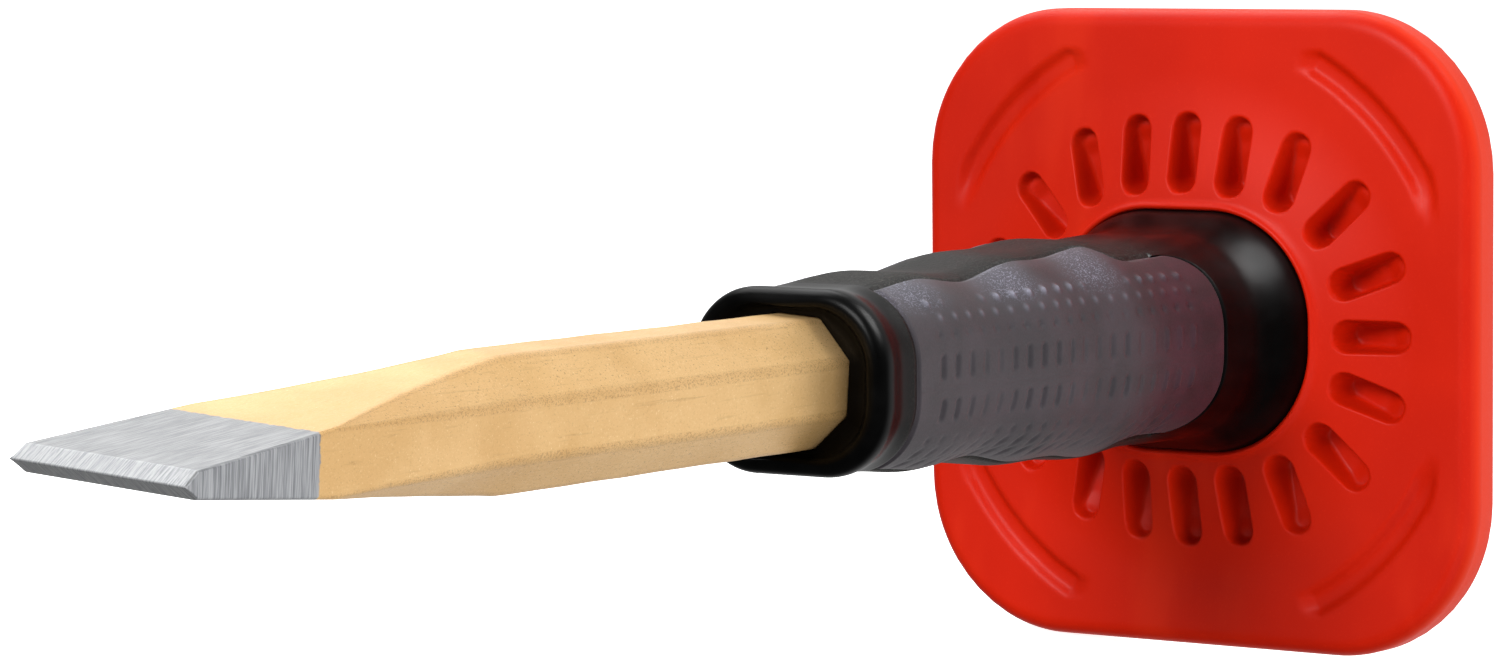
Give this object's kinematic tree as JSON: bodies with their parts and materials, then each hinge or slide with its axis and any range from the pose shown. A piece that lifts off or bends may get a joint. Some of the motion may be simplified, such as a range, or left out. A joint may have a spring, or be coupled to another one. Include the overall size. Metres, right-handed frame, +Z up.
{
  "type": "mason's flat chisel with hand guard",
  "caption": "Forged flat chisel for masonry with an octagonal shank, a chamfered struck head and a slip-on hand guard grip with a rounded square plate.",
  "frame": {"origin": "middle of the struck face, on the bar's axis", "axes": "+X along the bar from the cutting edge to the struck face, +Y across the blade's width, +Z up through the blade's thickness"},
  "size_m": [0.3, 0.0992, 0.0992],
  "materials": {
    "forged_steel": "gold lacquer, satin, with the ground tip left bare",
    "red_plastic": "satin",
    "black_plastic": "satin collar and flange, grained spine",
    "grey_rubber": "soft, smoky, slightly see-through"
  },
  "bodies": {
    "chisel": {"chisel_bar": "forged_steel"},
    "grip": {"guard": "red_plastic", "grip_frame": "black_plastic", "grip_panel_left": "grey_rubber", "grip_panel_right": "grey_rubber"}
  },
  "joints": [
    {"name": "grip_slide", "type": "slide", "parent": "chisel", "child": "grip", "axis": [1, 0, 0], "range_m": [0, 0.168]}
  ]
}
